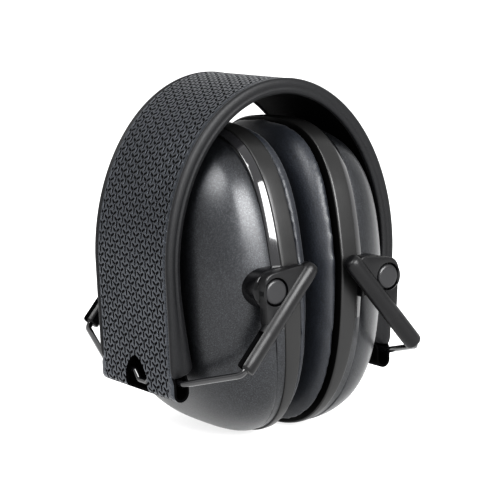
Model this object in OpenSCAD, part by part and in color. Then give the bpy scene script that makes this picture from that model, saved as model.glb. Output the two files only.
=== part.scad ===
// Folding over-the-head earmuff, shown folded: both cups swung up inside the headband.
// +X points to the wearer's right cup, +Y to the rear, +Z up. The origin is under the
// middle of the folded muff, level with the lowest points of the two cup rims.

/* [Cups] */
// Height of the cup rim
cup_h = 95; // [93:0.5:97]
// Width of the cup rim, front to back
cup_w = 79; // [77:0.5:80]
// Corner fullness of the rim outline, 2 being an ellipse
rim_power = 2.7; // [2.5:0.05:3]
// Distance from the middle plane to the rim's inner edge
rim_x = 7.6; // [7.4:0.1:8]
// Width of the rim wall
rim_wall_w = 6.2; // [5.8:0.1:6.4]
// Depth of the bevel between the rim wall and the dome
bevel_depth = 2.6; // [2:0.1:3]
// Distance from the middle plane to the outermost point of the dome
dome_x = 36; // [34:0.5:36.5]
// Thickness of the moulded walls
shell_wall = 2.2; // [1.8:0.1:2.6]
// Angle by which the top of each cup leans outwards
cup_lean = 2; // [1:0.1:2.4]

/* [Cushions] */
// Distance from the middle plane to the face of each cushion
cushion_face_x = 1.3; // [1.2:0.1:2]
// Half the outer width of a cushion
cushion_half_w = 38; // [36:0.5:38.5]
// Half the outer height of a cushion
cushion_half_h = 46.6; // [45:0.2:47]
// Half the width of the ear opening
opening_half_w = 18; // [16.5:0.5:20]
// Half the height of the ear opening
opening_half_h = 27; // [25.5:0.5:30]

/* [Headband] */
// Half the outer width of the folded headband
band_half_w = 42.3; // [42:0.1:43.5]
// Height of the arched stretch of the headband
arch_rise = 54.9; // [53:0.1:57]
// Height of the foot of the arch above the middle of the cups
arch_foot_z = 7.3; // [6:0.1:9]
// Front-to-back width of the headband
band_w = 43; // [41:0.5:45]
// Thickness of the headband
band_t = 4.6; // [4.4:0.1:5]
// Thickness of the textured cover
cover_t = 1.2; // [1:0.1:1.4]
// Thickness of the steel band spring
spring_t = 0.8; // [0.6:0.1:1]
// Width of the steel band spring
spring_w = 22; // [18:0.5:26]
// Distance from the middle plane to each flexing line in the crown
flex_x = 15; // [14:0.5:17]
// Angle by which the legs of the headband draw in towards their ends
leg_lean = 2; // [1.8:0.1:2.2]

/* [Wire yokes] */
// Radius of the yoke wire
wire_r = 1; // [0.9:0.05:1.1]
// Distance from the middle plane to each fold axle
axle_x = 38.4; // [38.2:0.1:38.6]
// Height of each fold axle above the middle of the cups
axle_z = -26; // [-27:0.1:-25.6]
// Radial running clearance of wires and pivots
running_gap = 0.05; // [0.03:0.01:0.08]
// Distance from the middle plane to the lower corner of each wire leg
corner_x = 32.3; // [31.8:0.1:32.8]
// Height of the lower corner of each wire leg above the middle of the cups
corner_z = -20.1; // [-20.6:0.1:-19.6]
// Distance from the centre line to each wire leg, front to back
leg_y = 44.4; // [44:0.1:45]
// Length of each wire leg inside its slider
leg_len = 31; // [28:0.5:32]
// Radius of the wire's bends along its middle
bend_r = 1.6; // [1.4:0.1:2]
// Steepness of the wire legs
leg_slope = 49.4; // [48:0.2:51]

/* [Sliders and pivots] */
// Distance from the middle plane to the cup pivots
pivot_x = 20.6; // [20:0.1:21]
// Height of the cup pivots above the middle of the cups
pivot_z = 2.9; // [2:0.1:4]
// Radius of the pivot heads
pivot_head_r = 3.8; // [3.4:0.1:4]
// Radius of the pivot shanks
pivot_shank_r = 2.4; // [2:0.1:2.6]
// Radius of the slider bars
bar_r = 2.75; // [2.6:0.05:2.9]
// Length of the slider bars from the wire corner to the tip
bar_len = 39; // [37:0.5:39.5]
// Distance from the centre line to the back of the sliders
slider_in_y = 42; // [41.9:0.1:42.3]
// Thickness of the slider plates
slider_t = 3.6; // [3.2:0.1:4]

/* [Hidden] */

$fn = 48;
left = -1;
right = 1;
front = -1;
rear = 1;

// Cup outlines have this many points, set half a step off so that the rim ends in a flat.
outline_points = 48;
dome_steps = 9;
dome_power = 1.65;
dome_fullness = 3.4;
dome_corner_power = 3;
bevel_scale = 0.962;
dome_scale = 0.95;
dome_last_step = 0.985;
groove_depth = 0.3;
fit_gap = 0.1;
foam_t = 5;
foam_gap = 0.8;
foam_front_x = rim_x + 3;
plate_t = 2;
rim_half_w = cup_w / 2;
rim_half_h = cup_h / 2;
rim_back_x = rim_x + rim_wall_w;
bevel_back_x = rim_back_x + bevel_depth;

// The rim stands on the flat facet at its bottom, whose outer edge the lean makes lowest.
half_step = 180 / outline_points;
rim_flat_z = rim_half_h * pow(cos(half_step), 2 / rim_power);
cup_centre_z = rim_flat_z * cos(cup_lean) + rim_wall_w * sin(cup_lean);

// The cover, the spring and the pad lie one inside the other through the band's thickness.
spring_depth = cover_t;
pad_depth = cover_t + spring_t;
binding_w = 1.9;
binding_gap = 0.1;
cover_half_w = band_w / 2 - binding_w - binding_gap;
arch_step = 3;
flex_angle = acos(flex_x / band_half_w);
flex_gap_angle = 0.2;
knuckle_r = 2.8;
knuckle_in_y = 6.5;
eye_r = 1.9;
eye_out_y = 19;
binding_hole_r = 1.6;
notch_half_w = 6.3;
notch_top = 5.5;
hem_drop = 3;
layer_end = 3;
spring_widens = 11;

// The axle has a shallow crank in its middle, inside the notch of the band end.
crank_depth = 3;
crank_half_w = 2.2;
crank_foot_y = 5;
axle_end_y = band_w / 2 + 0.9;
bend_swell = 0.03;
bend_overlap = 0.1;
leg_dir = [-cos(leg_slope), 0, sin(leg_slope)];
axle_point = [axle_x, 0, axle_z];
corner_point = [corner_x, leg_y, corner_z];

bar_start = 1.5;
bore_len = 34;
plate_corner_r = 4;
plate_top_z = 8.9;
plate_tip_z = 10;
plate_tip_w = 2.4;
plate_side_x = 24.8;
plate_low_x = 23.9;
plate_foot_z = -7.4;
plate_foot_along = 14;
plate_tip_along = 36.5;
lug_r = 6.3;
lug_shift = -1.5;
lug_back = 8;
lug_out_y = 41.6;
lug_in_y = 30;
stud_in_y = 38.6;
stud_head_in_y = 42.1;
stud_head_out_y = 45.8;
stud_hole_end_y = 38.4;
far = 200;

function signed_power(v, k) = sign(v) * pow(abs(v), k);

// Outline of a superellipse in the plane of a cup, as [front-to-back, up] pairs.
function outline(half_w, half_h, power) = [
    for (i = [0 : outline_points - 1])
        let (a = 360 * (i + 0.5) / outline_points)
        [half_w * signed_power(cos(a), 2 / power), half_h * signed_power(sin(a), 2 / power)]
];

function ring_at(x, flat) = [for (p = flat) [x, p[0], p[1]]];

// Rings of a dome that closes from the scale at its foot towards its outermost point.
function dome_rings(foot_x, tip_x, half_w, half_h) = [
    for (i = [0 : dome_steps])
        let (
            t = dome_last_step * sin(90 * i / dome_steps),
            k = pow(1 - pow(t, dome_power), 1 / dome_fullness)
        )
        ring_at(foot_x + (tip_x - foot_x) * t, outline(half_w * k, half_h * k, dome_corner_power))
];

// Closed solid through a list of rings with equal numbers of points, in order of rising x.
module loft(rings) {
    count = len(rings[0]);
    last = len(rings) - 1;
    polyhedron(
        points = [for (ring = rings) for (p = ring) p],
        faces = concat(
            [[for (i = [0 : count - 1]) i]],
            [[for (i = [count - 1 : -1 : 0]) last * count + i]],
            [for (r = [0 : last - 1]) for (i = [0 : count - 1])
                let (j = (i + 1) % count, a = r * count, b = a + count)
                [a + i, b + i, b + j, a + j]]
        ),
        convexity = 4
    );
}

module on_side(side) {
    translate([0, 0, cup_centre_z])
        if (side == right) children();
        else mirror([1, 0, 0]) children();
}

module at_end(end) {
    if (end == rear) children();
    else mirror([0, 1, 0]) children();
}

module leaning() {
    translate([rim_x, 0, 0]) rotate([0, cup_lean, 0]) translate([-rim_x, 0, 0]) children();
}

module rod(from, to, r) {
    way = to - from;
    length = norm(way);
    translate(from)
        rotate([0, acos(way[2] / length), atan2(way[1], way[0])])
            cylinder(h = length, r = r);
}

module y_cylinder(r, from_y, to_y) {
    translate([0, to_y, 0]) rotate([90, 0, 0]) cylinder(h = to_y - from_y, r = r);
}

// ---- headband ----

// Point of the arch at an angle from the foot, at a depth below the outer surface.
function arch_point(angle, depth) =
    let (
        n = [cos(angle) / band_half_w, sin(angle) / arch_rise],
        u = n / norm(n)
    )
    [band_half_w * cos(angle), arch_foot_z + arch_rise * sin(angle)] - depth * u;

function arch_line(from_angle, to_angle, depth) =
    let (steps = ceil(abs(to_angle - from_angle) / arch_step))
    [for (i = [0 : steps]) arch_point(from_angle + (to_angle - from_angle) * i / steps, depth)];

function reversed(list) = [for (i = [len(list) - 1 : -1 : 0]) list[i]];

module y_slab(points, from_y, to_y) {
    translate([0, to_y, 0]) rotate([90, 0, 0]) linear_extrude(to_y - from_y) polygon(points);
}

// A layer of the crown between two depths and two places front to back.
module crown_layer(depth, thickness, from_y, to_y) {
    start = flex_angle + flex_gap_angle;
    y_slab(concat(
        arch_line(start, 180 - start, depth),
        reversed(arch_line(start, 180 - start, depth + thickness))
    ), from_y, to_y);
}

// Point of the leg at a height, at a depth below its outer surface.
function leg_point(depth, z) = [band_half_w - depth - (arch_foot_z - z) * tan(leg_lean), z];

// A layer of the right arm, from the flexing line down the leg to a height.
module arm_layer(depth, thickness, from_y, to_y, end_z) {
    start = flex_angle - flex_gap_angle;
    y_slab(concat(
        arch_line(start, 0, depth),
        [leg_point(depth, end_z), leg_point(depth + thickness, end_z)],
        reversed(arch_line(start, 0, depth + thickness))
    ), from_y, to_y);
}

// A piece of the leg between two depths and two heights.
module leg_slab(depth, thickness, from_y, to_y, from_z, to_z) {
    y_slab([leg_point(depth, to_z), leg_point(depth, from_z),
        leg_point(depth + thickness, from_z), leg_point(depth + thickness, to_z)], from_y, to_y);
}

// Loop of the band's end, long enough for the wire to ride up in it.
module hem(from_y, to_y) {
    translate([0, to_y, 0]) rotate([90, 0, 0]) linear_extrude(to_y - from_y) {
        translate([axle_x, axle_z]) circle(r = knuckle_r);
        translate([axle_x, axle_z - hem_drop]) circle(r = knuckle_r);
        translate([axle_x - knuckle_r, axle_z - hem_drop]) square([2 * knuckle_r, hem_drop]);
    }
}

module end_notch() {
    translate([0, -notch_half_w, axle_z - far])
        cube([far, 2 * notch_half_w, far + notch_top]);
}

module at_axle() {
    translate([axle_x, 0, axle_z]) children();
}

module crown_cover() {
    color("dimgray") on_side(right) crown_layer(0, cover_t, -cover_half_w, cover_half_w);
}

module crown_spring() {
    color("silver") on_side(right) crown_layer(spring_depth, spring_t, -spring_w / 2, spring_w / 2);
}

module crown_pad() {
    edge = spring_w / 2 + fit_gap;
    color("black") on_side(right) {
        crown_layer(pad_depth, band_t - pad_depth, -cover_half_w, cover_half_w);
        crown_layer(spring_depth, spring_t, edge, cover_half_w);
        crown_layer(spring_depth, spring_t, -cover_half_w, -edge);
    }
}

module crown_bindings() {
    color("darkslategray") on_side(right)
        for (end = [front, rear])
            at_end(end) crown_layer(0, band_t, band_w / 2 - binding_w, band_w / 2);
}

module arm_cover(side) {
    color("dimgray") on_side(side) difference() {
        union() {
            arm_layer(0, cover_t, -cover_half_w, cover_half_w, axle_z);
            for (end = [front, rear])
                at_end(end) hem(knuckle_in_y, cover_half_w);
        }
        end_notch();
        at_axle() y_cylinder(eye_r + fit_gap, -far, far);
        leg_slab(spring_depth, spring_t + fit_gap, -far, far, axle_z, axle_z + layer_end);
    }
}

module arm_spring(side) {
    color("silver") on_side(side) difference() {
        union() {
            arm_layer(spring_depth, spring_t, -spring_w / 2, spring_w / 2, axle_z);
            leg_slab(spring_depth, spring_t, -eye_out_y, eye_out_y, axle_z, axle_z + spring_widens);
            for (end = [front, rear])
                at_end(end) at_axle() y_cylinder(eye_r, knuckle_in_y, eye_out_y);
        }
        end_notch();
        at_axle() y_cylinder(wire_r + running_gap, -far, far);
    }
}

module arm_pad(side) {
    edge = spring_w / 2 + fit_gap;
    end_z = axle_z + layer_end;
    wide_z = axle_z + spring_widens + fit_gap;
    color("black") on_side(side) difference() {
        union() {
            arm_layer(pad_depth, band_t - pad_depth, -cover_half_w, cover_half_w, end_z);
            arm_layer(spring_depth, spring_t, edge, cover_half_w, wide_z);
            arm_layer(spring_depth, spring_t, -cover_half_w, -edge, wide_z);
        }
        end_notch();
    }
}

module arm_bindings(side) {
    color("darkslategray") on_side(side)
        for (end = [front, rear])
            at_end(end) difference() {
                union() {
                    arm_layer(0, band_t, band_w / 2 - binding_w, band_w / 2, axle_z);
                    hem(band_w / 2 - binding_w, band_w / 2);
                }
                at_axle() y_cylinder(binding_hole_r, 0, far);
            }
}

// ---- wire yokes ----

function unit(v) = v / norm(v);

// Length that a rounded bend takes from each of the two straights that meet at a point.
function bend_cut(before, at, after) =
    let (turn = acos(unit(at - before) * unit(after - at)))
    bend_r * tan(turn / 2);

module bend(before, at, after) {
    u = unit(at - before);
    v = unit(after - at);
    n = unit(cross(u, v));
    x = cross(u, n);
    start = at - bend_cut(before, at, after) * u;
    translate(start - bend_r * x)
        multmatrix([[x[0], u[0], n[0]], [x[1], u[1], n[1]], [x[2], u[2], n[2]]])
            rotate_extrude(angle = acos(u * v)) translate([bend_r, 0]) circle(r = wire_r + bend_swell);
}

function to_front(point) = [point[0], -point[1], point[2]];

module yoke_wire(side) {
    rear_half = [
        axle_point + [0, crank_half_w, -crank_depth],
        axle_point + [0, crank_foot_y, 0],
        axle_point + [0, axle_end_y, 0],
        corner_point,
        corner_point + leg_len * leg_dir
    ];
    path = concat([for (point = reversed(rear_half)) to_front(point)], rear_half);
    last = len(path) - 1;
    cuts = [for (i = [0 : last])
        i == 0 || i == last ? 0 : bend_cut(path[i - 1], path[i], path[i + 1]) - bend_overlap];
    color("black") on_side(side) {
        for (i = [0 : last - 1])
            let (way = unit(path[i + 1] - path[i]))
            rod(path[i] + cuts[i] * way, path[i + 1] - cuts[i + 1] * way, wire_r);
        for (i = [1 : last - 1])
            bend(path[i - 1], path[i], path[i + 1]);
    }
}

// ---- sliders and pivots ----

module slider(side, end) {
    foot = corner_point + plate_foot_along * leg_dir;
    tip = corner_point + plate_tip_along * leg_dir;
    round_x = plate_side_x - plate_corner_r;
    round_z = plate_top_z - plate_corner_r;
    outer_y = slider_in_y + slider_t;
    color("black") on_side(side) at_end(end) difference() {
        union() {
            y_slab([
                [foot[0], foot[2]], [plate_low_x, plate_foot_z], [plate_side_x, round_z],
                [round_x, round_z], [round_x, plate_top_z],
                [tip[0] + plate_tip_w, plate_tip_z], [tip[0], tip[2]]
            ], slider_in_y, outer_y);
            translate([round_x, 0, round_z]) y_cylinder(plate_corner_r, slider_in_y, outer_y);
            intersection() {
                rod(corner_point + bar_start * leg_dir, corner_point + bar_len * leg_dir, bar_r);
                translate([-far, slider_in_y, -far]) cube(2 * far);
            }
        }
        rod(corner_point, corner_point + bore_len * leg_dir, wire_r + running_gap);
        translate([pivot_x, 0, pivot_z]) y_cylinder(pivot_head_r + running_gap, 0, far);
    }
}

module pivot_stud(side, end) {
    color("dimgray") on_side(side) at_end(end) translate([pivot_x, 0, pivot_z]) {
        y_cylinder(pivot_shank_r, stud_in_y, stud_head_in_y);
        y_cylinder(pivot_head_r, stud_head_in_y, stud_head_out_y);
    }
}

// ---- cups ----

// Solid inside the outer surface of the bevel and the dome, shrunk by a wall thickness.
module dome_solid(wall) {
    tip_x = dome_x - wall;
    dome = dome_rings(bevel_back_x, tip_x,
        rim_half_w * dome_scale - wall, rim_half_h * dome_scale - wall);
    bevel = outline(rim_half_w * bevel_scale - wall, rim_half_h * bevel_scale - wall, rim_power);
    rim = outline(rim_half_w - wall - fit_gap, rim_half_h - wall - fit_gap, rim_power);
    loft(concat(
        [ring_at(rim_back_x + (wall > 0 ? -fit_gap : fit_gap), rim)],
        [ring_at(bevel_back_x - groove_depth, bevel)],
        dome
    ));
}

module lug_outline() {
    translate([pivot_x + lug_shift, pivot_z]) circle(r = lug_r);
    translate([pivot_x - lug_back, pivot_z - lug_r]) square([lug_back + lug_shift, 2 * lug_r]);
}

module cup_shell(side) {
    color("slategray") on_side(side) difference() {
        union() {
            leaning() dome_solid(0);
            for (end = [front, rear])
                at_end(end) intersection() {
                    translate([0, lug_out_y, 0]) rotate([90, 0, 0])
                        linear_extrude(lug_out_y - lug_in_y) lug_outline();
                    leaning() translate([rim_back_x + fit_gap, -far, -far]) cube(2 * far);
                }
        }
        leaning() dome_solid(shell_wall);
        for (end = [front, rear])
            at_end(end) translate([pivot_x, 0, pivot_z])
                y_cylinder(pivot_shank_r, stud_hole_end_y, far);
    }
}

module x_slab(flat, from_x, to_x) {
    translate([from_x, 0, 0]) rotate([90, 0, 90]) linear_extrude(to_x - from_x) polygon(flat);
}

module cup_rim(side) {
    wall = shell_wall + 0.6;
    color("dimgray") on_side(side) leaning() difference() {
        x_slab(outline(rim_half_w, rim_half_h, rim_power), rim_x, rim_back_x);
        x_slab(outline(rim_half_w - wall, rim_half_h - wall, rim_power), 0, far);
    }
}

module back_plate(side) {
    wall = shell_wall + 0.6 + fit_gap;
    color("black") on_side(side) leaning() difference() {
        x_slab(outline(rim_half_w - wall, rim_half_h - wall, rim_power),
            rim_x + fit_gap, rim_x + fit_gap + plate_t);
        x_slab(outline(opening_half_w + 1, opening_half_h + 1, rim_power), 0, far);
    }
}

module foam_liner(side) {
    wall = shell_wall + foam_gap;
    color("gray") on_side(side) leaning() difference() {
        intersection() {
            dome_solid(wall);
            translate([foam_front_x, -far, -far]) cube(2 * far);
        }
        loft(concat(
            [ring_at(rim_x, outline(rim_half_w - wall - foam_t, rim_half_h - wall - foam_t, rim_power))],
            dome_rings(bevel_back_x, dome_x - wall - foam_t,
                rim_half_w * dome_scale - wall - foam_t, rim_half_h * dome_scale - wall - foam_t)
        ));
    }
}

// A cushion fills the wedge between the leaning back plate and the upright middle plane.
module ear_cushion(side) {
    section_points = 12;
    section_power = 2.8;
    mid_w = (cushion_half_w + opening_half_w) / 2;
    mid_h = (cushion_half_h + opening_half_h) / 2;
    reach_w = (cushion_half_w - opening_half_w) / 2;
    reach_h = (cushion_half_h - opening_half_h) / 2;
    rows = [
        for (j = [0 : section_points - 1])
            let (
                b = 360 * (j + 0.5) / section_points,
                out = signed_power(cos(b), 2 / section_power),
                along = signed_power(sin(b), 2 / section_power)
            )
            [for (p = outline(mid_w + reach_w * out, mid_h + reach_h * out, rim_power))
                let (back_x = rim_x - fit_gap + p[1] * tan(cup_lean))
                [(cushion_face_x + back_x) / 2 + along * (back_x - cushion_face_x) / 2, p[0], p[1]]]
    ];
    color("darkslateblue") on_side(side) polyhedron(
        points = [for (row = rows) for (p = row) p],
        faces = [
            for (j = [0 : section_points - 1]) for (i = [0 : outline_points - 1])
                let (
                    k = (j + 1) % section_points,
                    n = (i + 1) % outline_points,
                    a = j * outline_points,
                    b = k * outline_points
                )
                [a + i, b + i, b + n, a + n]
        ],
        convexity = 4
    );
}

crown_cover();
crown_spring();
crown_pad();
crown_bindings();
arm_cover(left);  // arm_cover_left
arm_cover(right);  // arm_cover_right
arm_spring(left);  // arm_spring_left
arm_spring(right);  // arm_spring_right
arm_pad(left);  // arm_pad_left
arm_pad(right);  // arm_pad_right
arm_bindings(left);  // arm_bindings_left
arm_bindings(right);  // arm_bindings_right
yoke_wire(left);  // yoke_wire_left
yoke_wire(right);  // yoke_wire_right
slider(left, front);  // slider_front_left
slider(left, rear);  // slider_rear_left
slider(right, front);  // slider_front_right
slider(right, rear);  // slider_rear_right
pivot_stud(left, front);  // pivot_stud_front_left
pivot_stud(left, rear);  // pivot_stud_rear_left
pivot_stud(right, front);  // pivot_stud_front_right
pivot_stud(right, rear);  // pivot_stud_rear_right
cup_shell(left);  // cup_shell_left
cup_shell(right);  // cup_shell_right
cup_rim(left);  // cup_rim_left
cup_rim(right);  // cup_rim_right
back_plate(left);  // back_plate_left
back_plate(right);  // back_plate_right
foam_liner(left);  // foam_liner_left
foam_liner(right);  // foam_liner_right
ear_cushion(left);  // ear_cushion_left
ear_cushion(right);  // ear_cushion_right
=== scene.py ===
"""Looks of a folding over-the-head earmuff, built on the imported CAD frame.

Shapes are written for the right-hand side, in millimetres, with z counted from the middle of
the cups, and mirrored for the left-hand side.
"""
import bpy
import bmesh
import math
from mathutils import Matrix, Vector


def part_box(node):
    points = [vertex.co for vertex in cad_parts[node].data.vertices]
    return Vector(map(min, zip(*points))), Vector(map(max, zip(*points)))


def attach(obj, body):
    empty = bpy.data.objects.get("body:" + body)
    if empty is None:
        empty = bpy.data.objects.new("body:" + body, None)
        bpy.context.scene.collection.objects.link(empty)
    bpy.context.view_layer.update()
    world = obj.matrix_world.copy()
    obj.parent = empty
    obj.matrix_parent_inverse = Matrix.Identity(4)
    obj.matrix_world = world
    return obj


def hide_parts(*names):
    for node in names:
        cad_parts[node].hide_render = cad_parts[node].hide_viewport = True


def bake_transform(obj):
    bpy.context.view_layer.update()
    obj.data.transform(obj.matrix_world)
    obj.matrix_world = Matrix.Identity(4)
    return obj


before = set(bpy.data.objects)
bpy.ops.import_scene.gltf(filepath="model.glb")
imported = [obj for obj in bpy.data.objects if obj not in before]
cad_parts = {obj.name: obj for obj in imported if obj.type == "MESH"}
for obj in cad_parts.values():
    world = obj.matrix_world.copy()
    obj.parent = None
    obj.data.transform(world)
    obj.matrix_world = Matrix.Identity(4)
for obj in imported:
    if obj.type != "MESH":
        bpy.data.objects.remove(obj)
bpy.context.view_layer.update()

MM = 0.001
SIDES = (("left", -1), ("right", 1))
ENDS = (("front", -1), ("rear", 1))

# Sizes in millimetres, those of hard parts as in the CAD source.
# Cups: depths x count from between the two cushions, outward.
CUP_H, CUP_W, RIM_POWER = 95.0, 79.0, 2.7
RIM_X, RIM_BACK_X, BEVEL_BACK_X, DOME_X = 7.6, 13.8, 16.4, 36.0
LEAN = math.radians(2)
HALF_W, HALF_H = CUP_W / 2, CUP_H / 2
FACE_X, CUSHION_HALF, OPENING_HALF = 1.3, (38.7, 47.1), (18.0, 27.0)

# Headband: an elliptical arch on two nearly straight legs.
ARCH_FOOT, ARCH_RISE = 7.3, 54.9
BAND_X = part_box("arm_cover_right")[1][0] / MM
BAND_HALF_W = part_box("crown_bindings")[1][1] / MM
CUP_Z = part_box("crown_cover")[1][2] / MM - ARCH_FOOT - ARCH_RISE
BAND_T, COVER_T, SPRING_T = 4.6, 1.2, 0.8
LEG_DRAW = math.tan(math.radians(2))

# Wire yoke: its axle in the band's end, and its legs up to the sliders.
AXLE_X, AXLE_Z = 38.4, -26.0
HEM_Z = AXLE_Z - 3.0
NOTCH_HALF, NOTCH_TOP = 6.1, AXLE_Z + 5.5
CORNER = (32.3, 44.4, -20.1)
SLOPE = math.radians(49.4)
LEG = (-math.cos(SLOPE), 0.0, math.sin(SLOPE))
LEG_LEN = 31.0

# Sliders on the legs, and the studs that the cups turn on.
PIVOT_X, PIVOT_Z, HEAD_R = 20.6, 2.9, 3.8
SLIDER_IN, SLIDER_OUT, BAR_R = 42.0, 45.6, 2.75


# ---------------------------------------------------------------- mesh code

def add(name, data):
    obj = bpy.data.objects.new(name, data)
    bpy.context.scene.collection.objects.link(obj)
    return obj


def flipped(faces):
    return [tuple(reversed(f)) for f in faces]


def make(name, verts, faces, side, sharp, uv=None, mats=None):
    """Smooth mesh object from right-hand points in millimetres, mirrored when side is -1.

    Edges that turn by more than sharp degrees stay crisp.
    """
    mesh = bpy.data.meshes.new(name)
    pts = [(side * x * MM, y * MM, (z + CUP_Z) * MM) for x, y, z in verts]
    mesh.from_pydata(pts, [], flipped(faces) if side < 0 else faces)
    if uv is not None:
        layer = mesh.uv_layers.new(name="mm")
        for loop in mesh.loops:
            layer.data[loop.index].uv = uv[loop.vertex_index]
    if mats is not None:
        for poly, m in zip(mesh.polygons, mats):
            poly.material_index = m
    bm = bmesh.new()
    bm.from_mesh(mesh)
    bmesh.ops.remove_doubles(bm, verts=bm.verts, dist=1e-7)
    bmesh.ops.dissolve_degenerate(bm, edges=bm.edges, dist=1e-8)
    for f in bm.faces:
        f.smooth = True
    limit = math.radians(sharp)
    for e in bm.edges:
        if len(e.link_faces) == 2 and e.calc_face_angle(0) > limit:
            e.smooth = False
    bm.to_mesh(mesh)
    bm.free()
    mesh.validate()
    return add(name, mesh)


def face_outward(obj):
    bm = bmesh.new()
    bm.from_mesh(obj.data)
    bmesh.ops.recalc_face_normals(bm, faces=bm.faces)
    bm.to_mesh(obj.data)
    bm.free()


def rings_mesh(rings, caps=(True, True)):
    """Vertices and faces through rings with equal numbers of points, with end caps or not."""
    n = len(rings[0])
    verts = [p for r in rings for p in r]
    faces = []
    for j in range(len(rings) - 1):
        for i in range(n):
            a, b = j * n + i, j * n + (i + 1) % n
            faces.append((a, b, b + n, a + n))
    if caps[0]:
        faces.append(tuple(range(n - 1, -1, -1)))
    if caps[1]:
        faces.append(tuple((len(rings) - 1) * n + i for i in range(n)))
    return verts, faces


def join_parts(parts):
    """One list of vertices and one of faces from several meshes."""
    verts, faces = [], []
    for v, f in parts:
        base = len(verts)
        verts += v
        faces += [tuple(base + i for i in face) for face in f]
    return verts, faces


def spow(v, k):
    """A power that keeps the sign, for superellipses."""
    return math.copysign(abs(v) ** k, v)


def even_angles(half_w, half_h, power, count):
    """Angles that space a superellipse's points evenly along it."""
    fine = 4000
    pts = []
    for i in range(fine + 1):
        a = 2 * math.pi * i / fine
        pts.append((half_w * spow(math.cos(a), 2 / power), half_h * spow(math.sin(a), 2 / power)))
    run = [0.0]
    for p, q in zip(pts, pts[1:]):
        run.append(run[-1] + math.dist(p, q))
    out, j = [], 0
    for k in range(count):
        want = run[-1] * k / count
        while run[j + 1] < want:
            j += 1
        part = (want - run[j]) / max(run[j + 1] - run[j], 1e-9)
        out.append(2 * math.pi * (j + part) / fine)
    return out


CUP_ANGLES = even_angles(HALF_W, HALF_H, RIM_POWER, 176)


def oval(half_w, half_h):
    """Outline (y, z) in the shape of the cup's rim."""
    return [(half_w * spow(math.cos(a), 2 / RIM_POWER), half_h * spow(math.sin(a), 2 / RIM_POWER))
            for a in CUP_ANGLES]


def domed_top(y, z):
    """The top of a cup is a little taller and rounder than its bottom."""
    t = min(max((z - 8) / 39.5, 0), 1)
    return y * (1 - 0.14 * t * (1 - t)), z + 1.5 * t * t


def lean(p):
    """A point of an upright cup, shaped at the top and tipped as the folded cups stand."""
    x, (y, z) = p[0] - RIM_X, domed_top(p[1], p[2])
    return (RIM_X + x * math.cos(LEAN) + z * math.sin(LEAN), y,
            -x * math.sin(LEAN) + z * math.cos(LEAN))


def low_part(a):
    """0 above the middle of a cup, growing to 1 at its bottom, for a point at an angle."""
    return min(max((5 - HALF_H * spow(math.sin(a), 2 / RIM_POWER)) / 52.5, 0), 1)


def narrowing(a):
    """How much narrower the rim is at an angle than at the top of the cup."""
    return 4.5 * low_part(a) ** 2


def edge_depth(a):
    """Depth of the bevel and groove behind the rim, which run out towards the bottom."""
    t = min(max((0.78 - low_part(a)) / 0.6, 0), 1)
    return t * t * (3 - 2 * t)


def cup_ring(x, inset, behind, fading=0.0):
    """Ring of a cup at a depth x, inset from its rim.

    behind is its share of the rim's narrowing, fading the part of the inset that runs out
    with the bevel.
    """
    out = []
    for a in CUP_ANGLES:
        d = inset - fading * (1 - edge_depth(a))
        y = (HALF_W - d) * spow(math.cos(a), 2 / RIM_POWER)
        z = (HALF_H - d) * spow(math.sin(a), 2 / RIM_POWER)
        out.append(lean((x - behind * narrowing(a), y, z)))
    return out


def sweep(path, section, scales=None):
    """Section points (across, up) carried along a path of (point, across axis, up axis)."""
    rings = []
    for k, (p, e1, e2) in enumerate(path):
        s = 1 if scales is None else scales[k]
        rings.append([tuple(p[i] + s * (c[0] * e1[i] + c[1] * e2[i]) for i in range(3))
                      for c in section])
    return rings_mesh(rings)


def unit(v):
    n = math.sqrt(sum(c * c for c in v))
    return tuple(c / n for c in v)


def cross(a, b):
    return (a[1] * b[2] - a[2] * b[1], a[2] * b[0] - a[0] * b[2], a[0] * b[1] - a[1] * b[0])


def tube(points, r, sides=18):
    """Round tube along a list of points, its frame carried without twist."""
    path, up = [], None
    for k, p in enumerate(points):
        a, b = points[max(k - 1, 0)], points[min(k + 1, len(points) - 1)]
        t = unit([b[i] - a[i] for i in range(3)])
        if up is None:
            up = unit(cross(t, (1, 0, 0) if abs(t[0]) < 0.9 else (0, 1, 0)))
        side = unit(cross(t, up))
        up = unit(cross(side, t))
        path.append((p, side, up))
    section = [(r * math.cos(2 * math.pi * i / sides), r * math.sin(2 * math.pi * i / sides))
               for i in range(sides)]
    return sweep(path, section)


# ---------------------------------------------------------------- materials

def new_material(name):
    m = bpy.data.materials.new(name)
    m.use_nodes = True
    return m, m.node_tree.nodes, m.node_tree.links, m.node_tree.nodes["Principled BSDF"]


def math_node(nodes, links, op, *args, clamp=False):
    n = nodes.new("ShaderNodeMath")
    n.operation, n.use_clamp = op, clamp
    for i, a in enumerate(args):
        if isinstance(a, (int, float)):
            n.inputs[i].default_value = a
        else:
            links.new(a, n.inputs[i])
    return n.outputs[0]


def mapped(nodes, links, value, from_lo, from_hi, to_lo=0.0, to_hi=1.0, smooth=True):
    """A value moved from one range to another and kept inside it."""
    n = nodes.new("ShaderNodeMapRange")
    n.interpolation_type = "SMOOTHSTEP" if smooth else "LINEAR"
    n.clamp = True
    links.new(value, n.inputs["Value"])
    for key, v in (("From Min", from_lo), ("From Max", from_hi),
                   ("To Min", to_lo), ("To Max", to_hi)):
        n.inputs[key].default_value = v
    return n.outputs[0]


def noise(nodes, links, scale, detail, coords=None):
    n = nodes.new("ShaderNodeTexNoise")
    n.inputs["Scale"].default_value = scale
    n.inputs["Detail"].default_value = detail
    if coords is None:
        coords = nodes.new("ShaderNodeTexCoord").outputs["Object"]
    links.new(coords, n.inputs["Vector"])
    return n.outputs["Fac"]


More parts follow.
